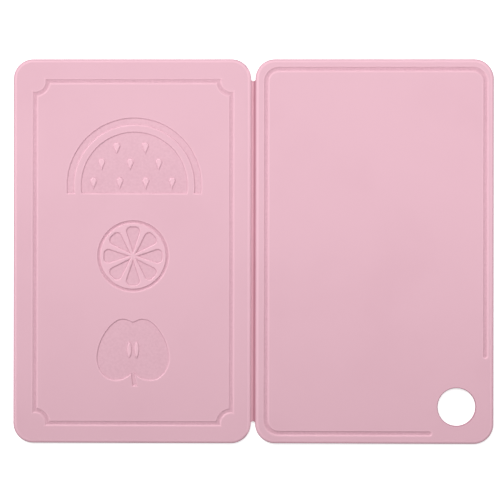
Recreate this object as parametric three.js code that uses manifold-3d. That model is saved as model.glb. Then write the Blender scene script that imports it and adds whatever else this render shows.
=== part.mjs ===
// A folding cutting board: two moulded polypropylene leaves that open like a book about a
// flexible hinge strip. One leaf carries a framed panel of fruit reliefs, the other a juice
// groove and a hanging hole. The strip is two thin creases with a round bead between them.
//
// Millimetres, +Z up. The board lies open with its underside at z = 0. X runs across the hinge,
// Y along it, and the origin is under the middle of the hinge.

import * as THREE from "three";
import { mergeVertices } from "three/addons/utils/BufferGeometryUtils.js";
import Module from "manifold-3d";

const wasm = await Module();
wasm.setup();

// Leaves
const LEAF_WIDTH = 148.65;
const LEAF_LENGTH = 240;
const LEAF_THICKNESS = 2.5;
const LEAF_CORNER_RADIUS = 12.3;
const RIM_WIDTH = 2.3;
const RIM_HEIGHT = 0.95;

// Hinge strip: as wide as the board is thick, so that the leaves close flat
const FOLD_CLEARANCE = 0.2;
const HINGE_GAP = LEAF_THICKNESS + FOLD_CLEARANCE;
const HINGE_END_LAND = 0.6;
const HINGE_END_DIP = 0.7;
const CREASE_THICKNESS = 0.5;
const BEAD_RADIUS = 0.45;
const SEAM = 0.05;

// Frame groove round the fruit panel, measured to the groove's middle
const FRAME_MARGIN_OUTER = 13.5;
const FRAME_MARGIN_HINGE = 12.25;
const FRAME_MARGIN_TOP = 13.9;
const FRAME_MARGIN_BOTTOM = 12.3;
const FRAME_SCOOP_RADIUS = 8;
const FRAME_GROOVE_WIDTH = 3;
const FRAME_GROOVE_DEPTH = 0.5;

// Fruit reliefs, sunk into the panel and drawn in towards their floors
const RELIEF_DEPTH = 0.6;
const RELIEF_DRAW = 0.6;
const CITRUS_BELOW_MIDDLE = 3.2;
const MELON_ABOVE_CITRUS = 44.3;
const MELON_RIGHT_OF_CITRUS = 0.7;
const APPLE_BELOW_CITRUS = 58.5;

const MELON_RADIUS = 42.4;
const MELON_RIND_WIDTH = 4.9;
const MELON_RING_WIDTH = 3.9;
const MELON_CUT_DROP = 5.4;
const MELON_SEED_RADIUS = 1.5;
const MELON_SEED_TAIL = 3.9;
const MELON_SEED_ABOVE_CUT = 8.2;
const MELON_SEED_BELOW_CROWN = 8.9;
const MELON_SEED_SIDE_MARGIN = 8.9;
const MELON_SEED_FAN = 1.5;
// Each row's count, its share of the way from the lowest row to the highest, and its shift sideways
const MELON_SEED_ROWS = [
  { count: 4, rise: 0, shift: -0.9 },
  { count: 3, rise: 0.54, shift: -2.5 },
  { count: 2, rise: 1, shift: -2 },
];

const CITRUS_RADIUS = 22.4;
const CITRUS_RIND_WIDTH = 2;
const CITRUS_RIND_DEPTH = 0.6;
const CITRUS_SEGMENTS = 8;
const CITRUS_PITH_WIDTH = 1.7;
const CITRUS_SEGMENT_CORNER = 2.8;
const CITRUS_RIB_WIDTH = 3.2;
const CITRUS_HUB_RADIUS = 1.2;

const APPLE_HALF_WIDTH = 22.9;
const APPLE_HALF_HEIGHT = 19.4;
const APPLE_WAIST_DROP = 5.2;
const APPLE_CROWN_DIP = 1.6;
const APPLE_CROWN_SPREAD = 6.5;
const APPLE_CLEFT_DEPTH = 3.8;
const APPLE_CLEFT_SPREAD = 11;
const APPLE_SHOULDER_FULLNESS = 0.45;
const APPLE_CHEEK_FULLNESS = 0.55;
const APPLE_STEM_LENGTH = 7.2;
const APPLE_STEM_HALF_TOP = 1.3;
const APPLE_STEM_HALF_FOOT = 1.6;
const APPLE_STEM_LEAN = 1.2;
const APPLE_PIP_HALF_LENGTH = 4.4;
const APPLE_PIP_HALF_WIDTH = 1;
const APPLE_PIP_SPREAD = 2.3;

// Hanging hole, and the juice groove that stops short of it, measured to the groove's middle
const HOLE_RADIUS = 11.8;
const HOLE_RIM_RADIUS = 0.5;
const HOLE_INSET = 23;
const JUICE_MARGIN_OUTER = 5.1;
const JUICE_MARGIN_HINGE = 6.85;
const JUICE_MARGIN_END = 6.3;
const JUICE_CORNER_RADIUS = 8;
const JUICE_GROOVE_WIDTH = 3;
const JUICE_GROOVE_DEPTH = 0.6;
const JUICE_LAND_ABOVE_HOLE = 18.4;
const JUICE_LAND_BESIDE_HOLE = 3.6;

// Share of a groove's half width that its round flanks take up; the rest is its flat floor
const GROOVE_FLANK_SHARE = 0.85;

// Facets along a quarter turn, a rim, a groove's flank, a large arc, and round the bead
const CORNER_STEPS = 10;
const RIM_STEPS = 3;
const FLANK_STEPS = 3;
const ARC_STEPS = 32;
const BEAD_SIDES = 12;

// How far a cutting shape stands out of the face that it cuts
const OVERSHOOT = 1;

const QUARTER = Math.PI / 2;
const CORNERS = [[1, 1], [-1, 1], [-1, -1], [1, -1]];

const boardPink = new THREE.MeshStandardMaterial({ color: 0xe5b9c6, roughness: 0.55, metalness: 0 });
const hingePink = new THREE.MeshStandardMaterial({ color: 0xd8a0ae, roughness: 0.5, metalness: 0 });

// Solids

// A closed geometry as a solid that can be cut.
function solidFrom(geometry) {
  const bare = geometry.clone();
  bare.deleteAttribute("normal");
  bare.deleteAttribute("uv");
  const merged = mergeVertices(bare);
  return new wasm.Manifold(
    new wasm.Mesh({
      numProp: 3,
      vertProperties: merged.attributes.position.array,
      triVerts: new Uint32Array(merged.index.array),
    }),
  );
}

// A plate with every cutting shape taken out of it, as a geometry.
function cut(plate, tools) {
  const solid = tools.reduce((left, tool) => left.subtract(solidFrom(tool)), solidFrom(plate));
  const { vertProperties, triVerts } = solid.getMesh();
  const geometry = new THREE.BufferGeometry();
  geometry.setAttribute("position", new THREE.BufferAttribute(vertProperties, 3));
  geometry.setIndex(new THREE.BufferAttribute(triVerts, 1));
  geometry.computeVertexNormals();
  return geometry;
}

// A plate of the leaf's thickness with a round rim, whose upright wall is no lower than a crease.
function roundedPlate(outline) {
  const rise = Math.min(RIM_HEIGHT, (LEAF_THICKNESS - CREASE_THICKNESS) / 2);
  const plate = new THREE.ExtrudeGeometry(outline, {
    depth: LEAF_THICKNESS - 2 * rise,
    bevelThickness: rise,
    bevelSize: RIM_WIDTH,
    bevelOffset: -RIM_WIDTH,
    bevelSegments: RIM_STEPS,
  });
  return plate.translate(0, 0, rise);
}

// What a recess takes out of a leaf's top face: full size at the face, drawn in to its floor.
function recess(outlines, depth, draw, steps) {
  const tool = new THREE.ExtrudeGeometry(outlines, {
    depth: OVERSHOOT,
    bevelThickness: depth,
    bevelSize: draw,
    bevelOffset: -draw,
    bevelSegments: steps,
  });
  return tool.translate(0, 0, LEAF_THICKNESS);
}

// A groove with round flanks inside an outline that has no sharp corners.
function groove(outline, width, depth) {
  return recess([outline], depth, (GROOVE_FLANK_SHARE * width) / 2, FLANK_STEPS);
}

// The same groove run round a closed line, which is given as a function of how far it is moved out.
function ringGroove(lineAt, width, depth) {
  const half = width / 2;
  const flank = GROOVE_FLANK_SHARE * half;
  const quarter = arc(0, 0, 1, 0, -QUARTER, FLANK_STEPS);
  const outer = quarter.map(({ x, y }) => [half - flank + flank * x, depth * y]);
  const inner = outer.map(([out, rise]) => [-out, rise]).reverse();
  const section = [[half, OVERSHOOT], ...outer, ...inner, [-half, OVERSHOOT]];
  const rings = section.map(([out, rise]) => lineAt(out).map(({ x, y }) => [x, y, LEAF_THICKNESS + rise]));
  const across = rings.length;
  const along = rings[0].length;
  const index = [];
  for (let i = 0; i < across; i++) {
    for (let j = 0; j < along; j++) {
      const [here, below] = [i * along, ((i + 1) % across) * along];
      const next = (j + 1) % along;
      index.push(here + j, below + j, here + next, here + next, below + j, below + next);
    }
  }
  const tool = new THREE.BufferGeometry();
  tool.setAttribute("position", new THREE.Float32BufferAttribute(rings.flat(2), 3));
  tool.setIndex(index);
  return tool;
}

// A shallow relief with straight, sloping sides.
function relief(outlines) {
  return recess(outlines, RELIEF_DEPTH, RELIEF_DRAW, 1);
}

// Outlines

// Points along an arc, from one angle to another, both included.
function arc(x, y, radius, from, to, steps) {
  return Array.from({ length: steps + 1 }, (_, i) => {
    const turn = from + ((to - from) * i) / steps;
    return new THREE.Vector2(x + radius * Math.cos(turn), y + radius * Math.sin(turn));
  });
}

// A whole circle about the origin, without its first point twice.
function circle(radius, steps) {
  return arc(0, 0, radius, 0, 2 * Math.PI, steps).slice(1);
}

function roundedRectangle(width, length, radius) {
  const x = width / 2 - radius;
  const y = length / 2 - radius;
  return CORNERS.flatMap(([sx, sy], corner) =>
    arc(sx * x, sy * y, radius, corner * QUARTER, (corner + 1) * QUARTER, CORNER_STEPS),
  );
}

// A drop: round, with straight sides that run to a point further down.
function drop(x, y, radius, tail) {
  const lean = Math.asin(radius / tail);
  return [new THREE.Vector2(x, y - tail), ...arc(x, y, radius, -lean, Math.PI + lean, CORNER_STEPS)];
}

// A wedge: straight sides that run up from a point to two round corners with a flat between them.
function wedge(y, radius, halfFlat, tail) {
  const lean = Math.asin(radius / Math.hypot(halfFlat, tail)) + Math.atan(halfFlat / tail);
  return [
    new THREE.Vector2(0, y - tail),
    ...arc(halfFlat, y, radius, -lean, QUARTER, CORNER_STEPS),
    ...arc(-halfFlat, y, radius, QUARTER, Math.PI + lean, CORNER_STEPS),
  ];
}

// A rectangle with a round scoop out of each corner, moved outwards by an offset.
function scoopedRectangle(width, length, scoop, offset) {
  const radius = scoop - offset;
  const tilt = Math.asin(offset / radius);
  return CORNERS.flatMap(([sx, sy], corner) => {
    const turn = corner * QUARTER;
    const [from, to] = [turn - QUARTER + tilt, turn - Math.PI - tilt];
    return arc((sx * width) / 2, (sy * length) / 2, radius, from, to, CORNER_STEPS);
  });
}

// The part of a disc above a level cut.
function discAboveCut(radius, cutDrop, steps) {
  const dip = Math.asin(cutDrop / radius);
  return arc(0, 0, radius, -dip, Math.PI + dip, steps);
}

// Fruit panel

function frameGroove() {
  const width = LEAF_WIDTH - FRAME_MARGIN_OUTER - FRAME_MARGIN_HINGE;
  const length = LEAF_LENGTH - FRAME_MARGIN_TOP - FRAME_MARGIN_BOTTOM;
  const line = (out) => scoopedRectangle(width, length, FRAME_SCOOP_RADIUS, out);
  return ringGroove(line, FRAME_GROOVE_WIDTH, FRAME_GROOVE_DEPTH);
}

// Half a slice of melon: a sunk rind, a ring left standing, and sunk flesh with standing seeds.
function melonSlice() {
  const innerRind = MELON_RADIUS - MELON_RIND_WIDTH;
  const rind = new THREE.Shape([
    ...discAboveCut(MELON_RADIUS, MELON_CUT_DROP, ARC_STEPS),
    ...discAboveCut(innerRind, MELON_CUT_DROP, ARC_STEPS).reverse(),
  ]);
  const fleshRadius = innerRind - MELON_RING_WIDTH;
  const flesh = new THREE.Shape(discAboveCut(fleshRadius, MELON_CUT_DROP, ARC_STEPS));
  // The lowest row spans the flesh between its margins; the rows above it are spread a little more.
  const lowRow = MELON_SEED_ABOVE_CUT - MELON_CUT_DROP;
  const highRow = fleshRadius - MELON_SEED_BELOW_CROWN;
  const lowSpan = 2 * (Math.sqrt(fleshRadius ** 2 - lowRow ** 2) - MELON_SEED_SIDE_MARGIN);
  const lowPitch = lowSpan / (MELON_SEED_ROWS[0].count - 1);
  MELON_SEED_ROWS.forEach(({ count, rise, shift }, row) => {
    const pitch = row === 0 ? lowPitch : lowPitch + MELON_SEED_FAN;
    const y = lowRow + rise * (highRow - lowRow);
    for (let i = 0; i < count; i++) {
      const x = shift + (i - (count - 1) / 2) * pitch;
      flesh.holes.push(new THREE.Path(drop(x, y, MELON_SEED_RADIUS, MELON_SEED_TAIL)));
    }
  });
  return relief([rind, flesh]);
}

// A citrus wheel: a round rind groove, and round-cornered wedges about a small hub.
function citrusWheel() {
  const rind = (out) => circle(CITRUS_RADIUS - CITRUS_RIND_WIDTH / 2 + out, 2 * ARC_STEPS);
  // Each segment's corners leave the pith outside them and a rib to the next segment.
  const cornerY = CITRUS_RADIUS - CITRUS_RIND_WIDTH - CITRUS_PITH_WIDTH - CITRUS_SEGMENT_CORNER;
  const halfStep = Math.PI / CITRUS_SEGMENTS;
  const toRib = CITRUS_SEGMENT_CORNER + CITRUS_RIB_WIDTH / 2;
  const halfFlat = (cornerY * Math.sin(halfStep) - toRib) / Math.cos(halfStep);
  const tail = cornerY - CITRUS_HUB_RADIUS;
  const outline = new THREE.Shape(wedge(cornerY, CITRUS_SEGMENT_CORNER, halfFlat, tail));
  const wheel = [ringGroove(rind, CITRUS_RIND_WIDTH, CITRUS_RIND_DEPTH)];
  for (let i = 0; i < CITRUS_SEGMENTS; i++) {
    wheel.push(relief([outline]).rotateZ(2 * halfStep * i));
  }
  return wheel;
}

// Half an apple, stalk down: a sunk outline that runs out into the stem, with two standing pips.
function appleHalf() {
  const [halfWidth, halfHeight] = [APPLE_HALF_WIDTH, APPLE_HALF_HEIGHT];
  const [crownX, cleftX] = [APPLE_CROWN_SPREAD, APPLE_CLEFT_SPREAD];
  const crownY = halfHeight - APPLE_CROWN_DIP;
  const cleftY = APPLE_CLEFT_DEPTH - halfHeight;
  const waistY = -APPLE_WAIST_DROP;
  const shoulderX = crownX + APPLE_SHOULDER_FULLNESS * (halfWidth - crownX);
  const shoulderY = waistY + APPLE_SHOULDER_FULLNESS * (halfHeight - waistY);
  const cheekX = cleftX + APPLE_CHEEK_FULLNESS * (halfWidth - cleftX);
  const cheekY = waistY - APPLE_CHEEK_FULLNESS * (halfHeight + waistY);
  const side = new THREE.Path();
  side.moveTo(0, crownY);
  side.bezierCurveTo(crownX / 2, crownY, crownX / 2, halfHeight, crownX, halfHeight);
  side.bezierCurveTo(shoulderX, halfHeight, halfWidth, shoulderY, halfWidth, waistY);
  side.bezierCurveTo(halfWidth, cheekY, cheekX, -halfHeight, cleftX, -halfHeight);
  side.quadraticCurveTo(cleftX / 2, -halfHeight, APPLE_STEM_HALF_TOP, cleftY);
  const right = side.getPoints(CORNER_STEPS);
  const left = right.slice(1).map((point) => new THREE.Vector2(-point.x, point.y));
  const foot = [APPLE_STEM_HALF_FOOT, -APPLE_STEM_HALF_FOOT].map(
    (x) => new THREE.Vector2(APPLE_STEM_LEAN + x, cleftY - APPLE_STEM_LENGTH),
  );
  const outline = new THREE.Shape([...right, ...foot, ...left.reverse()]);
  // A pip's handles stand a third further out than its curve reaches.
  const [pipY, pipBulge] = [APPLE_PIP_HALF_LENGTH, (4 * APPLE_PIP_HALF_WIDTH) / 3];
  for (const x of [-APPLE_PIP_SPREAD, APPLE_PIP_SPREAD]) {
    const pip = new THREE.Path();
    pip.moveTo(x, pipY);
    pip.bezierCurveTo(x - pipBulge, pipY, x - pipBulge, -pipY, x, -pipY);
    pip.bezierCurveTo(x + pipBulge, -pipY, x + pipBulge, pipY, x, pipY);
    outline.holes.push(pip);
  }
  return relief([outline]);
}

// Cutting face

// What the hanging hole takes out of a leaf: a round bore, flared at both faces by its rounded edge.
function holeBore() {
  const flare = HOLE_RADIUS + HOLE_RIM_RADIUS;
  const rimAt = (z, from, to) => arc(flare, z, HOLE_RIM_RADIUS, from, to, RIM_STEPS);
  const profile = [
    new THREE.Vector2(0, -OVERSHOOT),
    new THREE.Vector2(flare, -OVERSHOOT),
    ...rimAt(HOLE_RIM_RADIUS, -QUARTER, -Math.PI),
    ...rimAt(LEAF_THICKNESS - HOLE_RIM_RADIUS, Math.PI, QUARTER),
    new THREE.Vector2(flare, LEAF_THICKNESS + OVERSHOOT),
    new THREE.Vector2(0, LEAF_THICKNESS + OVERSHOOT),
  ];
  return new THREE.LatheGeometry(profile, ARC_STEPS).rotateX(QUARTER);
}

// The groove runs round three sides and part of two ends, and stops either side of the hole.
function juiceGroove(hole) {
  const left = JUICE_MARGIN_HINGE - LEAF_WIDTH / 2;
  const right = LEAF_WIDTH / 2 - JUICE_MARGIN_OUTER;
  const y = LEAF_LENGTH / 2 - JUICE_MARGIN_END;
  const half = JUICE_GROOVE_WIDTH / 2;
  const sideStop = hole.y + HOLE_RADIUS + JUICE_LAND_ABOVE_HOLE + half;
  const footStop = hole.x - HOLE_RADIUS - JUICE_LAND_BESIDE_HOLE - half;
  // The run bends at every corner but the one with the hole.
  const bends = (radius) =>
    CORNERS.slice(0, -1).flatMap(([sx, sy], corner) => {
      const cx = (sx > 0 ? right : left) - sx * JUICE_CORNER_RADIUS;
      const cy = sy * (y - JUICE_CORNER_RADIUS);
      return arc(cx, cy, radius, corner * QUARTER, (corner + 1) * QUARTER, CORNER_STEPS);
    });
  const outline = new THREE.Shape([
    ...bends(JUICE_CORNER_RADIUS + half),
    ...arc(footStop, -y, half, -QUARTER, QUARTER, CORNER_STEPS),
    ...bends(JUICE_CORNER_RADIUS - half).reverse(),
    ...arc(right, sideStop, half, Math.PI, 2 * Math.PI, CORNER_STEPS),
  ]);
  return groove(outline, JUICE_GROOVE_WIDTH, JUICE_GROOVE_DEPTH);
}

// Leaves, each about its own middle

function leafOutline() {
  return new THREE.Shape(roundedRectangle(LEAF_WIDTH, LEAF_LENGTH, LEAF_CORNER_RADIUS));
}

function decoratedLeaf() {
  const panelX = (FRAME_MARGIN_OUTER - FRAME_MARGIN_HINGE) / 2;
  const panelY = (FRAME_MARGIN_BOTTOM - FRAME_MARGIN_TOP) / 2;
  const citrusY = -CITRUS_BELOW_MIDDLE;
  const leaf = cut(roundedPlate(leafOutline()), [
    frameGroove().translate(panelX, panelY, 0),
    melonSlice().translate(panelX + MELON_RIGHT_OF_CITRUS, citrusY + MELON_ABOVE_CITRUS, 0),
    ...citrusWheel().map((piece) => piece.translate(panelX, citrusY, 0)),
    appleHalf().translate(panelX, citrusY - APPLE_BELOW_CITRUS, 0),
  ]);
  const mesh = new THREE.Mesh(leaf, boardPink);
  mesh.name = "decorated_leaf";
  return mesh;
}

function groovedLeaf() {
  const hole = new THREE.Vector2(LEAF_WIDTH / 2 - HOLE_INSET, HOLE_INSET - LEAF_LENGTH / 2);
  const leaf = cut(roundedPlate(leafOutline()), [
    holeBore().translate(hole.x, hole.y, 0),
    juiceGroove(hole),
  ]);
  const mesh = new THREE.Mesh(leaf, boardPink);
  mesh.name = "grooved_leaf";
  return mesh;
}

// Hinge strip, about its own middle

const hingeHalfLength = LEAF_LENGTH / 2 - LEAF_CORNER_RADIUS - HINGE_END_LAND;

// A thin web from the bead to a leaf's edge, on the +X side; scooped ends keep it from tearing.
function crease(name) {
  const scoop = ((HINGE_GAP / 2) ** 2 + HINGE_END_DIP ** 2) / (2 * HINGE_END_DIP);
  const scoopY = hingeHalfLength - HINGE_END_DIP + scoop;
  const near = Math.asin((BEAD_RADIUS + SEAM) / scoop);
  const far = Math.asin((HINGE_GAP / 2 - SEAM) / scoop);
  const outline = new THREE.Shape([
    ...arc(0, scoopY, scoop, far - QUARTER, near - QUARTER, CORNER_STEPS),
    ...arc(0, -scoopY, scoop, QUARTER - near, QUARTER - far, CORNER_STEPS),
  ]);
  const web = new THREE.ExtrudeGeometry(outline, { depth: CREASE_THICKNESS, bevelEnabled: false });
  const mesh = new THREE.Mesh(web.translate(0, 0, -CREASE_THICKNESS / 2), hingePink);
  mesh.name = name;
  return mesh;
}

// The round bead between the creases, which keeps the two fold lines a board's thickness apart.
function hingeBead() {
  const length = 2 * (hingeHalfLength - HINGE_END_DIP);
  const rod = new THREE.CylinderGeometry(BEAD_RADIUS, BEAD_RADIUS, length, BEAD_SIDES);
  const mesh = new THREE.Mesh(rod, hingePink);
  mesh.name = "hinge_bead";
  return mesh;
}

// The open board

const leafMiddle = (HINGE_GAP + LEAF_WIDTH) / 2;

const decorated = decoratedLeaf();
decorated.position.x = -leafMiddle;

const grooved = groovedLeaf();
grooved.position.x = leafMiddle;

const decoratedCrease = crease("decorated_crease");
decoratedCrease.rotation.z = Math.PI;

const hinge = new THREE.Group();
hinge.position.z = LEAF_THICKNESS / 2;
hinge.add(decoratedCrease, hingeBead(), crease("grooved_crease"));

const board = new THREE.Group();
board.add(decorated, hinge, grooved);

export default board;
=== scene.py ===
import math
from collections import namedtuple
from functools import partial

import bmesh
import bpy
from mathutils import Matrix, Vector
from mathutils.geometry import delaunay_2d_cdt


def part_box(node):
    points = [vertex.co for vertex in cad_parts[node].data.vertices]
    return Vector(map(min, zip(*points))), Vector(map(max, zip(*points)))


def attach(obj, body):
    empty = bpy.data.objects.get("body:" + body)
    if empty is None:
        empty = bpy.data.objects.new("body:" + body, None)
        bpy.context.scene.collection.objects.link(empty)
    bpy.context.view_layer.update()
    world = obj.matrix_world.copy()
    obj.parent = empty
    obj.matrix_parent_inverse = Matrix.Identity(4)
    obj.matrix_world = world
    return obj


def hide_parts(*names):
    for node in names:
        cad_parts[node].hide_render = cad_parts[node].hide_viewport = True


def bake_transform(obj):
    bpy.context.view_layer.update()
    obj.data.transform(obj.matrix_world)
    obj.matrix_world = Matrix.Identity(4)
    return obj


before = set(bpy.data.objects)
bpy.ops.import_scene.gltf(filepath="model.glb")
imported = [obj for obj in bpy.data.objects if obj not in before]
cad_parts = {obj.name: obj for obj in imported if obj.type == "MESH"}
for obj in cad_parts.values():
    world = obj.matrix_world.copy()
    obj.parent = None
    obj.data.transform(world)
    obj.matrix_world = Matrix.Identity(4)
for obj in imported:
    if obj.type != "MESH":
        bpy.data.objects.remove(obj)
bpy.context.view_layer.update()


# Grooved leaf
# The half of the board that is cut on: a flat plate of pale pink polypropylene, moulded in one shot
# with the hinge and the other leaf. A juice groove runs round its edge and stops either side of a
# round hole through one corner, which the board hangs by. Every edge is rounded by the mould.

leaf_low, leaf_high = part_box("grooved_leaf")
face_height = leaf_high.z
corner_radius = 0.0123
rim_width = 0.0023
rim_height = 0.00095
# Painted light on the board's round edge: its turn is painted paler as a highlight, its wall deeper as
# shade
rim_turn_painted_highlight = -1.1
rim_wall_painted_shade = 1
rim_tone_power = 1.5
hole_radius = 0.0118
hole_rim_radius = 0.0005
# The hole's round edge is painted deeper and its wall deepest, as painted shade in the hole
hole_turn_painted_shade = 1
hole_wall_painted_shade = 2
hole_inset = 0.023
juice_margin_outer = 0.0051
juice_margin_hinge = 0.00685
juice_margin_end = 0.0063
juice_corner_radius = 0.008
juice_half_width = 0.0015
juice_depth = 0.0006
juice_land_above_hole = 0.0184
juice_land_beside_hole = 0.0036
lip_radius = 0.0002
lip_band = 0.0006
# Groove lips are painted paler as a highlight, and groove floors deeper as shade
lip_painted_highlight = -0.9
groove_floor_share = 0.12
groove_painted_shade = 0.42
side_pitch = 0.005
corner_steps = 16
hole_steps = 96
rim_steps = 8
flank_steps = 8
# From the palest tone, -1, in steps of 1: the palest is a painted highlight, then the board's own pink,
# then two deeper pinks of painted shade
lit_and_shaded_board_pinks = ((0.884, 0.538, 0.631, 1), (0.792, 0.478, 0.562, 1),
               (0.584, 0.298, 0.376, 1), (0.420, 0.180, 0.240, 1))
board_grain = 0.0005
board_roughness = 0.68
roughness_spread = 0.08
plastic_ior = 1.49
plastic_gloss = 0.3
grain_detail = 2
grain_height_share = 0.05
face_grain_strength = 0.25
floor_grain_strength = 0.6
speckle_grains = 3
speckle_tone = 0.12
cloud_size = 0.06
cloud_detail = 4
cloud_tone = 0.08
# Nearly all of a noise texture's values lie between these two.
noise_low = 0.3
noise_high = 0.7

QUARTER = math.pi / 2

# One line of a swept section: how far it lies to the left of the outline, how high, which way it faces
# (along the left, and up), how far down a recess it is, from 0 on the face to 1 on the floor, and its
# tone, from -1 for the palest pink over 0 for the board's own to 2 for the deepest. The pale tones are
# painted highlight, and the deep ones mostly painted shade.
Row = namedtuple("Row", "reach height across up sunk tone")


def arc(x, y, radius, start, stop, steps):
    """Points along an arc, both ends included."""
    turns = [start + (stop - start) * step / steps for step in range(steps + 1)]
    return [Vector((x + radius * math.cos(turn), y + radius * math.sin(turn))) for turn in turns]


def circle(x, y, radius, steps):
    """A circle, listed anticlockwise, without its first point twice."""
    return arc(x, y, radius, 0, 4 * QUARTER, steps)[1:]


def rounded_rectangle(low, high, radius):
    """A rectangle with round corners, listed anticlockwise from its right side."""
    corners = [(high.x - radius, high.y - radius), (low.x + radius, high.y - radius),
               (low.x + radius, low.y + radius), (high.x - radius, low.y + radius)]
    outline = []
    for corner, (x, y) in enumerate(corners):
        outline += arc(x, y, radius, corner * QUARTER, (corner + 1) * QUARTER, corner_steps)
    return outline


def spaced(outline):
    """The outline with more points along its long straight sides."""
    points = []
    for here, there in zip(outline, outline[1:] + outline[:1]):
        parts = max(1, math.ceil((there - here).length / side_pitch))
        points += [here.lerp(there, part / parts) for part in range(parts)]
    return points


def left_of_sides(outline):
    """The direction to the left of each side of a closed outline."""
    lefts = []
    for here, there in zip(outline, outline[1:] + outline[:1]):
        along = (there - here).normalized()
        lefts.append(Vector((-along.y, along.x)))
    return lefts


def shifted(outline, reach):
    """The outline moved to its left, with its corners mitred."""
    lefts = left_of_sides(outline)
    points = []
    for index, point in enumerate(outline):
        before, after = lefts[index - 1], lefts[index]
        points.append(point + (before + after) * (reach / (1 + before.dot(after))))
    return points


def rim_section(width, height, turn_painted_light, wall_painted_shade):
    """A round edge, from the underside to the face, with a painted tone along its turn, paler as a
    highlight or deeper as shade, and painted shade along its wall.
    """
    under = []
    for step in range(rim_steps + 1):
        sine, cosine = math.sin(QUARTER * step / rim_steps), math.cos(QUARTER * step / rim_steps)
        facing = Vector((-sine * height, -cosine * width)).normalized()
        # The hump reaches 1 at a third of the way from the face to the wall.
        hump = 27 / 4 * sine * (1 - sine) ** 2
        tone = wall_painted_shade * sine ** rim_tone_power + turn_painted_light * hump
        under.append(Row(width * (1 - sine), leaf_low.z + height * (1 - cosine), *facing, 0, tone))
    over = [row._replace(height=leaf_low.z + leaf_high.z - row.height, up=-row.up) for row in under]
    return under + over[::-1]


def sunk_row(reach, slope, depth, share, tone):
    """A line of a recess's side that slopes down to the left, at its share of the whole depth."""
    return Row(reach, face_height - depth * share, *Vector((slope, 1)).normalized(), share, tone)


def groove_side(half_width, depth, face_tone=0, floor_painted_shade=groove_painted_shade):
    """One side of a groove, from the face over its round lip, painted pale as a highlight, to its floor on
    the left, painted deeper as shade.
    """
    spread = half_width + lip_radius
    flank = spread * (1 - groove_floor_share)
    side = [sunk_row(-spread - lip_band, 0, depth, 0, face_tone)]
    # The depth grows smoothly from the lip to the floor, and the slope is its own rate of change.
    for step in range(flank_steps + 1):
        out = 1 - step / flank_steps
        share = (1 - out ** 3) ** 2
        slope = depth * 6 * out ** 2 * (1 - out ** 3) / flank
        # Painted highlight on the lip, grading into painted shade on the floor
        tone = lip_painted_highlight + (floor_painted_shade - lip_painted_highlight) * share
        side.append(sunk_row(flank * (1 - out) - spread, slope, depth, share, tone))
    return side


class Skin:
    """A surface gathered row by row, with the true normal at each corner of each face."""

    sharp_turn = math.cos(math.radians(30))

    def __init__(self):
        self.points = []
        self.sunk = []
        self.tone = []
        self.faces = []
        self.normals = []

    def sweep(self, line_at, section):
        """Runs a section along a closed line, given as a function of its reach. Returns its end lines."""
        outline = line_at(0)
        count = len(outline)
        lefts = left_of_sides(outline)
        starts, ends = list(lefts), list(lefts)
        for side in range(count):
            before, after = lefts[side - 1], lefts[side]
            if before.dot(after) > self.sharp_turn:
                starts[side] = ends[side - 1] = (before + after).normalized()
        lines = []
        for row in section:
            first = len(self.points)
            self.points += [(*point, row.height) for point in line_at(row.reach)]
            self.sunk += [row.sunk] * count
            self.tone += [row.tone] * count
            lines.append(range(first, first + count))
        for (line, row), (next_line, next_row) in zip(zip(lines, section), zip(lines[1:], section[1:])):
            for side in range(count):
                end = (side + 1) % count
                self.faces.append((line[side], line[end], next_line[end], next_line[side]))
                corners = ((starts, row), (ends, row), (ends, next_row), (starts, next_row))
                for ways, facing in corners:
                    self.normals.append((*(ways[side] * facing.across), facing.up))
        return lines[0], lines[-1]

    def fill(self, lines, up=1):
        """Closes the flat area between closed lines of points at one height."""
        corners, loops = [], []
        for line in lines:
            points = [Vector(self.points[point][:2]) for point in line]
            area = sum(a.cross(b) for a, b in zip(points, points[1:] + points[:1]))
            loops.append(list(range(len(corners), len(corners) + len(line))))
            corners += line if area > 0 else reversed(line)
        places = [Vector(self.points[point][:2]) for point in corners]
        made = delaunay_2d_cdt(places, [], loops, 0, 1e-7)
        for triangle, inside in zip(made[2], made[5]):
            if len(inside) % 2:
                face = [corners[made[3][corner][0]] for corner in triangle]
                self.faces.append(face[::up])
                self.normals += [(0, 0, up)] * len(face)

    def piece(self, name, material):
        """The finished object, with the recess depths and the tones of painted highlight and shade that its
        material reads.
        """
        mesh = bpy.data.meshes.new(name)
        mesh.from_pydata(self.points, [], self.faces)
        mesh.attributes.new("sunk", "FLOAT", "POINT").data.foreach_set("value", self.sunk)
        mesh.attributes.new("tone", "FLOAT", "POINT").data.foreach_set("value", self.tone)
        mesh.normals_split_custom_set(self.normals)
        mesh.materials.append(material)
        made = bpy.data.objects.new(name, mesh)
        bpy.context.collection.objects.link(made)
        return made


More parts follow.
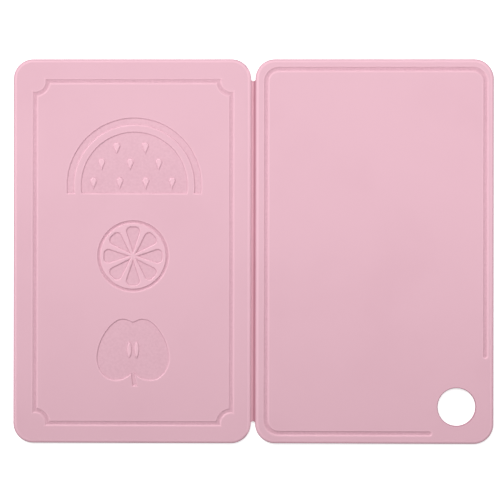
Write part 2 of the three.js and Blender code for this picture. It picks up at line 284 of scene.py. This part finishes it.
def moulded_plastic(name, tones, grain_size, roughness):
    """Matt moulded plastic: a fine grain, faint clouds in the pigment, and coarser, speckled recesses."""
    material = bpy.data.materials.new(name)
    material.use_nodes = True
    nodes, links = material.node_tree.nodes, material.node_tree.links
    shader = nodes["Principled BSDF"]
    shader.inputs["IOR"].default_value = plastic_ior
    shader.inputs["Specular IOR Level"].default_value = plastic_gloss
    place = nodes.new("ShaderNodeTexCoord")

    def attribute(word):
        node = nodes.new("ShaderNodeAttribute")
        node.attribute_name = word
        return node.outputs["Fac"]

    def noise(size, detail):
        node = nodes.new("ShaderNodeTexNoise")
        node.inputs["Scale"].default_value = 1 / size
        node.inputs["Detail"].default_value = detail
        links.new(place.outputs["Object"], node.inputs["Vector"])
        return node.outputs["Fac"]

    def ranged(value, low, high, from_low=0, from_high=1):
        node = nodes.new("ShaderNodeMapRange")
        settings = {"From Min": from_low, "From Max": from_high, "To Min": low, "To Max": high}
        for socket, setting in settings.items():
            node.inputs[socket].default_value = setting
        links.new(value, node.inputs["Value"])
        return node.outputs["Result"]

    def worked(operation, *values):
        node = nodes.new("ShaderNodeMath")
        node.operation = operation
        for value, socket in zip(values, node.inputs):
            links.new(value, socket)
        return node.outputs["Value"]

    sunk = attribute("sunk")
    grain = noise(grain_size, grain_detail)
    clouds = ranged(noise(cloud_size, cloud_detail), -cloud_tone, cloud_tone, noise_low, noise_high)
    speckles = noise(speckle_grains * grain_size, grain_detail)
    speckles = ranged(speckles, -speckle_tone, speckle_tone, noise_low, noise_high)
    tone = worked("ADD", attribute("tone"), worked("MULTIPLY_ADD", sunk, speckles, clouds))
    # The tones, painted highlight and shade about the middle pink, lie evenly along the ramp.
    steps = len(tones) - 1
    ramp = nodes.new("ShaderNodeValToRGB")
    ramp.color_ramp.elements[0].color = tones[0]
    ramp.color_ramp.elements[1].color = tones[steps]
    for step in range(1, steps):
        ramp.color_ramp.elements.new(step / steps).color = tones[step]
    links.new(ranged(tone, 0, 1, -1, steps - 1), ramp.inputs["Fac"])
    links.new(ramp.outputs["Color"], shader.inputs["Base Color"])
    shine = ranged(grain, roughness - roughness_spread, roughness + roughness_spread)
    links.new(shine, shader.inputs["Roughness"])
    bump = nodes.new("ShaderNodeBump")
    bump.inputs["Distance"].default_value = grain_size * grain_height_share
    links.new(grain, bump.inputs["Height"])
    links.new(ranged(sunk, face_grain_strength, floor_grain_strength), bump.inputs["Strength"])
    links.new(bump.outputs["Normal"], shader.inputs["Normal"])
    return material


board_plastic = moulded_plastic("board_plastic", lit_and_shaded_board_pinks, board_grain, board_roughness)

hole_x = leaf_high.x - hole_inset
hole_y = leaf_low.y + hole_inset
hole_edge = circle(hole_x, hole_y, hole_radius, hole_steps)[::-1]


def juice_groove():
    """The groove's edge, round three corners, with a round stop on each side of the hole."""
    left, right = leaf_low.x + juice_margin_hinge, leaf_high.x - juice_margin_outer
    bottom, top = leaf_low.y + juice_margin_end, leaf_high.y - juice_margin_end
    side_stop = hole_y + hole_radius + juice_land_above_hole + juice_half_width
    foot_stop = hole_x - hole_radius - juice_land_beside_hole - juice_half_width

    corners = [(right - juice_corner_radius, top - juice_corner_radius),
               (left + juice_corner_radius, top - juice_corner_radius),
               (left + juice_corner_radius, bottom + juice_corner_radius)]

    def bends(radius):
        points = []
        for corner, (x, y) in enumerate(corners):
            points += arc(x, y, radius, corner * QUARTER, (corner + 1) * QUARTER, corner_steps)
        return points

    return (bends(juice_corner_radius + juice_half_width)
            + arc(foot_stop, bottom, juice_half_width, -QUARTER, QUARTER, corner_steps)
            + bends(juice_corner_radius - juice_half_width)[::-1]
            + arc(right, side_stop, juice_half_width, 2 * QUARTER, 4 * QUARTER, corner_steps))


grooved = Skin()
leaf_rim = rim_section(rim_width, rim_height, rim_turn_painted_highlight, rim_wall_painted_shade)
leaf_outline = spaced(rounded_rectangle(leaf_low, leaf_high, corner_radius))
under_edge, face_edge = grooved.sweep(partial(shifted, leaf_outline), leaf_rim)
hole_rim = rim_section(hole_rim_radius, hole_rim_radius, hole_turn_painted_shade, hole_wall_painted_shade)
under_hole, face_hole = grooved.sweep(partial(shifted, hole_edge), hole_rim)
juice_side = groove_side(juice_half_width, juice_depth)
juice_section = [row._replace(reach=row.reach + juice_half_width) for row in juice_side]
groove_lip, groove_floor = grooved.sweep(partial(shifted, spaced(juice_groove())), juice_section)
grooved.fill([face_edge, face_hole, groove_lip])
grooved.fill([groove_floor])
grooved.fill([under_edge, under_hole], up=-1)
grooved_plate = grooved.piece("grooved_plate", board_plastic)
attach(grooved_plate, "grooved_leaf")
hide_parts("grooved_leaf")


# Decorated leaf
# The other half of the same moulding, for serving: a sunk line with scooped corners frames a column of
# three sunk fruit figures, half a melon slice, a citrus wheel and half an apple. The mould's eroded
# inserts leave their floors a little rougher and deeper in tone than the matt face.

panel_low, panel_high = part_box("decorated_leaf")
frame_margin_outer = 0.0135
frame_margin_hinge = 0.01225
frame_margin_top = 0.0139
frame_margin_bottom = 0.0123
frame_scoop_radius = 0.008
frame_half_width = 0.0015
frame_depth = 0.0005
relief_depth = 0.0006
relief_draw = 0.0006
relief_tone = 0.1
# How much paler the upper half of a figure's wall is painted, as a highlight, how much deeper its lower
# half, as shade, and the tone of the painted highlight on the lip round it
relief_wall_painted_highlight = 0.9
relief_wall_painted_shade = 0.4
band_painted_highlight = -0.72
# Standing islands, the seeds and pips, are painted paler on top as a highlight
island_painted_highlight = -0.9
hinge_side_painted_highlight = -1
citrus_below_middle = 0.0032
melon_above_citrus = 0.0443
melon_right_of_citrus = 0.0007
apple_below_citrus = 0.0585
wall_steps = 6

column_x = (panel_low.x + frame_margin_outer + panel_high.x - frame_margin_hinge) / 2
citrus_y = (panel_low.y + panel_high.y) / 2 - citrus_below_middle

decorated = Skin()
face_lines = []


def sink_groove(line_at, half_width, depth, inner_tone=0, floor_painted_shade=groove_painted_shade):
    """Sinks a groove along a middle line, given as a function of its reach."""
    outer = groove_side(half_width, depth, 0, floor_painted_shade)
    inner = [row._replace(reach=-row.reach, across=-row.across)
             for row in groove_side(half_width, depth, inner_tone, floor_painted_shade)]
    face_lines.extend(decorated.sweep(line_at, outer + inner[::-1]))


def sink_relief(edge_at, islands=(), edge_tone=0, band=lip_band, foot=0, foot_painted_shade=0):
    """Sinks a flat-bottomed figure and leaves islands standing in it.

    Its edge is a function of the reach. A band of painted highlight may run round it outside, and a line of
    painted shade along the foot of its wall.
    """
    spread = relief_draw + 2 * lip_radius

    def wall(top_tone, foot=0):
        rows = [sunk_row(-lip_radius, 0, relief_depth, 0, top_tone)]
        # The depth grows smoothly from the lip to the floor, and the slope is its own rate of change.
        for step in range(1, wall_steps + 1):
            in_by = step / wall_steps
            share = in_by ** 2 * (3 - 2 * in_by)
            slope = relief_depth * 6 * in_by * (1 - in_by) / spread
            swing = math.sin(4 * QUARTER * in_by)
            tone = top_tone + (relief_tone - top_tone) * share
            # Painted highlight on the wall's upper half, painted shade on its lower half
            tone -= swing * (relief_wall_painted_highlight if swing > 0 else relief_wall_painted_shade)
            # The foot of the wall may be painted deeper still, as shade
            if foot and in_by > 0.5:
                tone = foot_painted_shade
            rows.append(sunk_row(spread * in_by - lip_radius, slope, relief_depth, share, tone))
        if foot:
            rows.append(rows[-1]._replace(reach=rows[-1].reach + foot, tone=relief_tone))
        return rows

    edge_wall = wall(edge_tone, foot)
    if band:
        lip = edge_wall[0]
        edge_wall[:1] = [lip._replace(reach=lip.reach - band), lip._replace(tone=lip.tone + band_painted_highlight)]
    floors = []
    sides = [(partial(shifted, island[::-1]), wall(island_painted_highlight)) for island in islands]
    for line_at, rows in [(edge_at, edge_wall)] + sides:
        lip, floor = decorated.sweep(line_at, rows)
        face_lines.append(lip)
        floors.append(floor)
    decorated.fill(floors)


def moved(outline, x, y, turn=0):
    """An outline turned about the origin, and then moved."""
    return [Matrix.Rotation(turn, 2) @ point + Vector((x, y)) for point in outline]


# The frame line

frame_low = Vector((panel_low.x + frame_margin_outer, panel_low.y + frame_margin_bottom))
frame_high = Vector((panel_high.x - frame_margin_hinge, panel_high.y - frame_margin_top))
frame_corners = [(frame_high.x, frame_high.y), (frame_low.x, frame_high.y),
                 (frame_low.x, frame_low.y), (frame_high.x, frame_low.y)]


def frame_line(reach):
    """Straight sides with a round scoop at each corner, moved inwards by a reach."""
    radius = frame_scoop_radius + reach
    tilt = math.asin(reach / radius)
    line = []
    for corner, (x, y) in enumerate(frame_corners):
        turn = corner * QUARTER
        line += arc(x, y, radius, turn - QUARTER - tilt, turn - 2 * QUARTER + tilt, corner_steps)
    return line


sink_groove(frame_line, frame_half_width, frame_depth)

# The melon slice: a sunk rind, a ring left standing, and sunk flesh with rows of standing seeds

melon_radius = 0.0424
melon_rind_width = 0.0049
melon_ring_width = 0.0039
melon_cut_drop = 0.0054
seed_radius = 0.0015
seed_tail = 0.0039
seed_above_cut = 0.0082
seed_below_crown = 0.0089
seed_side_margin = 0.0089
seed_fan = 0.0015
melon_steps = 80
# Each row's count, its share of the way from the lowest row to the highest, and its shift sideways
seed_rows = ((4, 0, -0.0009), (3, 0.54, -0.0025), (2, 1, -0.002))
melon_x = column_x + melon_right_of_citrus
melon_y = citrus_y + melon_above_citrus


def drop(radius, tail):
    """A drop about the middle of its round end, with its point straight below."""
    lean = math.asin(radius / tail)
    return [Vector((0, -tail))] + arc(0, 0, radius, -lean, 2 * QUARTER + lean, corner_steps)


def disc_above_cut(radius):
    """The part of a melon's disc above its level cut, from the right end of the cut to the left one."""
    dip = math.asin(melon_cut_drop / radius)
    return arc(melon_x, melon_y, radius, -dip, 2 * QUARTER + dip, melon_steps)


inner_rind = melon_radius - melon_rind_width
flesh_radius = inner_rind - melon_ring_width
low_row = seed_above_cut - melon_cut_drop
high_row = flesh_radius - seed_below_crown
low_span = 2 * (math.sqrt(flesh_radius ** 2 - low_row ** 2) - seed_side_margin)
low_pitch = low_span / (seed_rows[0][0] - 1)
seeds = []
for count, rise, shift in seed_rows:
    pitch = low_pitch + seed_fan if rise else low_pitch
    y = melon_y + low_row + rise * (high_row - low_row)
    for place in range(count):
        x = melon_x + shift + (place - (count - 1) / 2) * pitch
        seeds.append(moved(drop(seed_radius, seed_tail), x, y))
rind = spaced(disc_above_cut(melon_radius) + disc_above_cut(inner_rind)[::-1])
flesh = spaced(disc_above_cut(flesh_radius))
sink_relief(partial(shifted, rind))
sink_relief(partial(shifted, flesh), seeds)

# The citrus wheel: a round rind line and round-cornered wedges about a small hub, in pith painted paler as
# a highlight; the rind line's floor and the wedges' feet are painted deeper as shade

citrus_radius = 0.0224
citrus_rind_half_width = 0.001
citrus_rind_depth = 0.0006
citrus_rind_steps = 128
citrus_segments = 8
citrus_pith_width = 0.0017
citrus_segment_corner = 0.0033
citrus_rib_width = 0.0028
citrus_hub_radius = 0.0012
# Painted light: paler pith as a highlight, and a deeper rind floor and wedge feet as shade
rind_painted_shade = 0.55
pith_painted_highlight = -0.45
segment_foot = 0.0003
segment_foot_painted_shade = 0.5


def wedge(radius, half_flat, tail):
    """Straight sides that run up from a point to two round corners with a flat between their tops."""
    lean = math.asin(radius / math.hypot(half_flat, tail)) + math.atan(half_flat / tail)
    return ([Vector((0, -tail))] + arc(half_flat, 0, radius, -lean, QUARTER, corner_steps)
            + arc(-half_flat, 0, radius, QUARTER, 2 * QUARTER + lean, corner_steps))


rind_line = circle(column_x, citrus_y, citrus_radius - citrus_rind_half_width, citrus_rind_steps)
sink_groove(partial(shifted, rind_line), citrus_rind_half_width, citrus_rind_depth, pith_painted_highlight, rind_painted_shade)
corner_reach = citrus_radius - 2 * citrus_rind_half_width - citrus_pith_width - citrus_segment_corner
half_step = 2 * QUARTER / citrus_segments
corner_to_rib = citrus_segment_corner + citrus_rib_width / 2
half_flat = (corner_reach * math.sin(half_step) - corner_to_rib) / math.cos(half_step)
segment = wedge(citrus_segment_corner, half_flat, corner_reach - citrus_hub_radius)
for step in range(citrus_segments):
    turned = moved(moved(segment, 0, corner_reach), column_x, citrus_y, 2 * half_step * step)
    sink_relief(partial(shifted, turned), edge_tone=pith_painted_highlight, band=0,
                foot=segment_foot, foot_painted_shade=segment_foot_painted_shade)

# Half an apple, stalk down: a sunk figure that runs out into the stem, with two standing pips

apple_half_width = 0.0229
apple_half_height = 0.0194
apple_waist_drop = 0.0052
apple_crown_dip = 0.0019
apple_crown_slope = 0.4
apple_crown_spread = 0.0065
apple_cleft_depth = 0.0038
apple_cleft_spread = 0.011
cleft_clear = 0.001
cleft_fade = 0.004
cleft_least = 0.02
apple_shoulder_fullness = 0.45
apple_cheek_fullness = 0.55
stem_length = 0.0072
stem_half_top = 0.0013
stem_half_foot = 0.0016
stem_lean = 0.0012
pip_half_length = 0.0044
pip_half_width = 0.001
pip_fullness = 0.6
pip_spread = 0.0023
apple_y = citrus_y - apple_below_citrus


def bezier(start, *controls):
    """Points along a Bezier curve by repeated division, with its last point left to the next curve."""
    points = []
    for step in range(corner_steps):
        level = [Vector(point) for point in (start, *controls)]
        while len(level) > 1:
            level = [a.lerp(b, step / corner_steps) for a, b in zip(level, level[1:])]
        points += level
    return points


def between(start, end, fullness):
    """The place at a share of the way, where the handle of a full curve stands."""
    return start + fullness * (end - start)


crown_y = apple_half_height - apple_crown_dip
crown = Vector((apple_crown_spread, apple_half_height))
waist = Vector((apple_half_width, -apple_waist_drop))
base = Vector((apple_cleft_spread, -apple_half_height))
cleft = Vector((stem_half_top, apple_cleft_depth - apple_half_height))
shoulder_x = between(crown.x, waist.x, apple_shoulder_fullness)
shoulder_y = between(waist.y, crown.y, apple_shoulder_fullness)
cheek_x = between(base.x, waist.x, apple_cheek_fullness)
cheek_y = between(waist.y, base.y, apple_cheek_fullness)
notch_handle = Vector((crown.x / 3, crown_y + apple_crown_slope * crown.x / 3))
right_side = bezier((0, crown_y), notch_handle, (crown.x / 2, crown.y), crown)
right_side += bezier(crown, (shoulder_x, crown.y), (waist.x, shoulder_y), waist)
right_side += bezier(waist, (waist.x, cheek_y), (cheek_x, base.y), base)
right_side += bezier(base, (base.x / 2, base.y), cleft)
right_side += [cleft]
left_side = [Vector((-point.x, point.y)) for point in right_side[1:]]
stem_foot = [Vector((stem_lean + x, cleft.y - stem_length)) for x in (-stem_half_foot, stem_half_foot)]
# A pip's handles stand a third further out than its curve reaches.
pip_top, pip_handle = pip_half_length, pip_fullness * pip_half_length
pip_bulge = 4 * pip_half_width / 3
pip = bezier((0, pip_top), (-pip_bulge, pip_handle), (-pip_bulge, -pip_handle), (0, -pip_top))
pip += bezier((0, -pip_top), (pip_bulge, -pip_handle), (pip_bulge, pip_handle), (0, pip_top))
pips = [moved(pip, column_x + side * pip_spread, apple_y) for side in (-1, 1)]
apple = moved(right_side[::-1] + left_side + stem_foot, column_x, apple_y)
clefts = moved([cleft, Vector((-cleft.x, cleft.y))], column_x, apple_y)


def apple_line(reach):
    """The apple's edge moved inwards; outside it, the line stays close beside the stem's two clefts."""
    if reach >= -lip_radius:
        return shifted(apple, reach)
    line = []
    for point, near, far in zip(apple, shifted(apple, -lip_radius), shifted(apple, reach)):
        from_cleft = min((point - place).length for place in clefts)
        share = (from_cleft - cleft_clear) / cleft_fade
        line.append(near.lerp(far, min(1, max(cleft_least, share))))
    return line


sink_relief(apple_line, pips)

# The plate itself

panel_outline = spaced(rounded_rectangle(panel_low, panel_high, corner_radius))
under_edge, face_edge = decorated.sweep(partial(shifted, panel_outline), leaf_rim)
# Painted highlight: the rim beside the thin hinge strip is painted paler than the other rims.
for index, point in enumerate(decorated.points):
    if point[0] > panel_high.x - rim_width:
        decorated.tone[index] = hinge_side_painted_highlight
decorated.fill([face_edge] + face_lines)
decorated.fill([under_edge], up=-1)
decorated_plate = decorated.piece("decorated_plate", board_plastic)
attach(decorated_plate, "decorated_leaf")
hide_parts("decorated_leaf")


# Hinge bead
# The round rib along the middle of the hinge strip, of the same plastic and shot. It keeps the two
# fold lines a board's thickness apart, so that the leaves close flat on each other.

bead_low, bead_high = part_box("hinge_bead")
bead_radius = (bead_high.x - bead_low.x) / 2
bead_sides = 24
bead_end_rings = 13
bead_top_painted_highlight = -0.3
# The hinge is the board's own plastic; its pinks are painted deeper as the shade in the hinge gap
shaded_hinge_pinks = ((0.780, 0.450, 0.530, 1), (0.640, 0.300, 0.370, 1), (0.430, 0.170, 0.225, 1))
hinge_grain = 0.0004
hinge_roughness = 0.58

shaded_hinge_plastic = moulded_plastic("shaded_hinge_plastic", shaded_hinge_pinks, hinge_grain, hinge_roughness)
bead_middle = (bead_low + bead_high) / 2
upright_to_along = Matrix.Rotation(QUARTER, 4, "X")
ball = bmesh.new()
bmesh.ops.create_uvsphere(ball, u_segments=bead_sides, v_segments=bead_end_rings, radius=bead_radius,
                          matrix=upright_to_along)
# The ball is drawn out into a rod: an odd count of rings leaves none at its middle.
draw_out = (bead_high.y - bead_low.y) / 2 - bead_radius
for vertex in ball.verts:
    vertex.co.y += math.copysign(draw_out, vertex.co.y)
    vertex.co += bead_middle
for face in ball.faces:
    face.smooth = True
bead_mesh = bpy.data.meshes.new("bead_rod")
ball.to_mesh(bead_mesh)
ball.free()
# Painted light: the bead's top is painted paler as a highlight, and its underside deeper as shade
bead_painted_light = bead_mesh.attributes.new("tone", "FLOAT", "POINT")
for vertex, tone in zip(bead_mesh.vertices, bead_painted_light.data):
    tone.value = bead_top_painted_highlight * vertex.normal.z
bead_mesh.materials.append(shaded_hinge_plastic)
bead_rod = bpy.data.objects.new("bead_rod", bead_mesh)
bpy.context.collection.objects.link(bead_rod)
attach(bead_rod, "hinge_bead")
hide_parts("hinge_bead")


# Creases
# The two thin webs that bend, one from each leaf to the bead, moulded with them and thinnest along
# the middle. Their scooped ends keep a tear from starting.

crease_waist = 0.00034
crease_root = 0.00005
crease_columns = 8
crease_rows = 48
crease_sharp = math.radians(40)
# Painted shade deepens the grooved leaf's web, and a painted highlight makes the decorated leaf's web paler
grooved_web_painted_shade = 0.75
decorated_web_painted_highlight = -0.6


def crease(name, node, leaf, joint_parent, tone):
    """A web that bends from a leaf to the bead, with its painted tone, deeper as shade or paler as a
    highlight, at full along its middle.
    """
    low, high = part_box(node)
    side = 1 if high.x > 0 else -1
    inner = bead_radius - crease_root
    outer = abs(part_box(leaf)[0].x if side > 0 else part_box(leaf)[1].x)
    middle_z = (low.z + high.z) / 2
    half_end, half_waist = (high.z - low.z) / 2, crease_waist / 2
    end_dip = high.y - bead_high.y
    scoop = ((outer ** 2) + end_dip ** 2) / (2 * end_dip)
    verts, tones, faces = [], [], []
    for row in range(crease_rows + 1):
        along = 2 * row / crease_rows - 1
        for face in (1, -1):
            for column in range(crease_columns + 1)[::face]:
                share = column / crease_columns
                x = inner + (outer + crease_root - inner) * share
                end = bead_high.y + scoop - math.sqrt(scoop ** 2 - min(x, outer) ** 2)
                fullness = (2 * share - 1) ** 2
                half = half_waist + (half_end - half_waist) * fullness
                verts.append((side * x, along * end, middle_z + face * half))
                tones.append(tone * (1 - fullness / 2))
    around = 2 * (crease_columns + 1)
    for row in range(crease_rows):
        for step in range(around):
            here, there = row * around + step, row * around + (step + 1) % around
            quad = (here, here + around, there + around, there)
            faces.append(quad[::-side])
    for row, turn in ((0, 1), (crease_rows, -1)):
        for column in range(crease_columns):
            upper = row * around + column
            lower = row * around + around - 1 - column
            quad = (upper, upper + 1, lower - 1, lower)
            faces.append(quad[::-side * turn])
    mesh = bpy.data.meshes.new(name)
    mesh.from_pydata(verts, [], faces)
    mesh.attributes.new("tone", "FLOAT", "POINT").data.foreach_set("value", tones)
    mesh.set_sharp_from_angle(angle=crease_sharp)
    mesh.materials.append(shaded_hinge_plastic)
    web = bpy.data.objects.new(name, mesh)
    bpy.context.collection.objects.link(web)
    wall = Vector((side * outer, 0, middle_z))
    rib = Vector((side * bead_radius, 0, middle_z))
    start, end = (wall, rib) if joint_parent == leaf else (rib, wall)
    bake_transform(web)
    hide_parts(node)


crease("grooved_web", "grooved_crease", "grooved_leaf", "grooved_leaf", grooved_web_painted_shade)
crease("decorated_web", "decorated_crease", "decorated_leaf", "hinge_bead",
       decorated_web_painted_highlight)


# Table and backdrop
# A plain white sweep that the board lies on. It takes the board's shadow, and shows white to the
# camera and in reflections.

sweep_half = 3
sweep_white = 0.9
sweep_roughness = 0.9
sweep_glow = 0.58
fill_light = 0.32

floor_mesh = bpy.data.meshes.new("sweep")
floor_corners = [(x * sweep_half, y * sweep_half, 0) for x, y in ((-1, -1), (1, -1), (1, 1), (-1, 1))]
floor_mesh.from_pydata(floor_corners, [], [(0, 1, 2, 3)])
floor = bpy.data.objects.new("sweep", floor_mesh)
bpy.context.collection.objects.link(floor)


def seen_directly(tree):
    """1 for rays from the camera and for reflections and refractions, 0 for the light on the object."""
    path = tree.nodes.new("ShaderNodeLightPath")
    total = path.outputs["Is Camera Ray"]
    for kind in ("Is Glossy Ray", "Is Transmission Ray"):
        either = tree.nodes.new("ShaderNodeMath")
        either.operation = "MAXIMUM"
        tree.links.new(total, either.inputs[0])
        tree.links.new(path.outputs[kind], either.inputs[1])
        total = either.outputs["Value"]
    return total


paper = bpy.data.materials.new("white_sweep")
paper.use_nodes = True
tree = paper.node_tree
shader = tree.nodes["Principled BSDF"]
shader.inputs["Base Color"].default_value = (sweep_white, sweep_white, sweep_white, 1)
shader.inputs["Roughness"].default_value = sweep_roughness
shader.inputs["Specular IOR Level"].default_value = 0
shader.inputs["Emission Color"].default_value = (1, 1, 1, 1)
glow = tree.nodes.new("ShaderNodeMath")
glow.operation = "MULTIPLY"
glow.inputs[1].default_value = sweep_glow
tree.links.new(seen_directly(tree), glow.inputs[0])
tree.links.new(glow.outputs["Value"], shader.inputs["Emission Strength"])
floor_mesh.materials.append(paper)

world = bpy.data.worlds.new("studio")
bpy.context.scene.world = world
world.use_nodes = True
tree = world.node_tree
background = tree.nodes["Background"]
background.inputs["Color"].default_value = (1, 1, 1, 1)
strength = tree.nodes.new("ShaderNodeMix")
strength.inputs["A"].default_value = fill_light
strength.inputs["B"].default_value = 1
tree.links.new(seen_directly(tree), strength.inputs["Factor"])
tree.links.new(strength.outputs["Result"], background.inputs["Strength"])


# Studio light
# A soft window-like key from the upper left that draws the grooves and reliefs, and a wide soft box
# overhead, nearer to the far end of the board, that makes the face a little darker towards the near end.

key_turn = math.radians(42)
key_rise = math.radians(33)
key_strength = 1.35
key_softness = math.radians(16)
box_place = Vector((0, 0.12, 0.35))
box_width = 1.6
box_depth = 0.2
box_power = 1.85

key = bpy.data.lights.new("key", "SUN")
key.energy = key_strength
key.angle = key_softness
key_lamp = bpy.data.objects.new("key", key)
key_level = Vector((-math.sin(key_turn), math.cos(key_turn), math.tan(key_rise)))
key_lamp.rotation_euler = (-key_level).to_track_quat("-Z", "Y").to_euler()
bpy.context.collection.objects.link(key_lamp)

soft_box = bpy.data.lights.new("soft_box", "AREA")
soft_box.shape = "RECTANGLE"
soft_box.size = box_width
soft_box.size_y = box_depth
soft_box.energy = box_power
box_lamp = bpy.data.objects.new("soft_box", soft_box)
box_lamp.location = box_place
box_lamp.visible_camera = False
bpy.context.collection.objects.link(box_lamp)


# Camera
# Straight above the open board, a touch to the right of the hinge, as the photograph is taken.

camera_height = 1.0
camera_lean = math.radians(0.8)
camera_roll = math.radians(0.08)
frame_width = 0.31225
frame_pixels = 500
aim_right_pixels = -3.1
aim_above_pixels = 1.2

pixel = frame_width / frame_pixels
aim = Vector((aim_right_pixels * pixel, aim_above_pixels * pixel, face_height))
camera = bpy.data.cameras.new("camera")
camera.sensor_fit = "HORIZONTAL"
camera.angle = 2 * math.atan(frame_width / 2 / camera_height)
camera_object = bpy.data.objects.new("camera", camera)
turn = Matrix.Rotation(camera_lean, 3, "Y") @ Matrix.Rotation(camera_roll, 3, "Z")
camera_object.location = aim + turn @ Vector((0, 0, camera_height))
camera_object.rotation_euler = turn.to_euler()
bpy.context.collection.objects.link(camera_object)
bpy.context.scene.camera = camera_object
bpy.context.scene.view_settings.view_transform = "Standard"
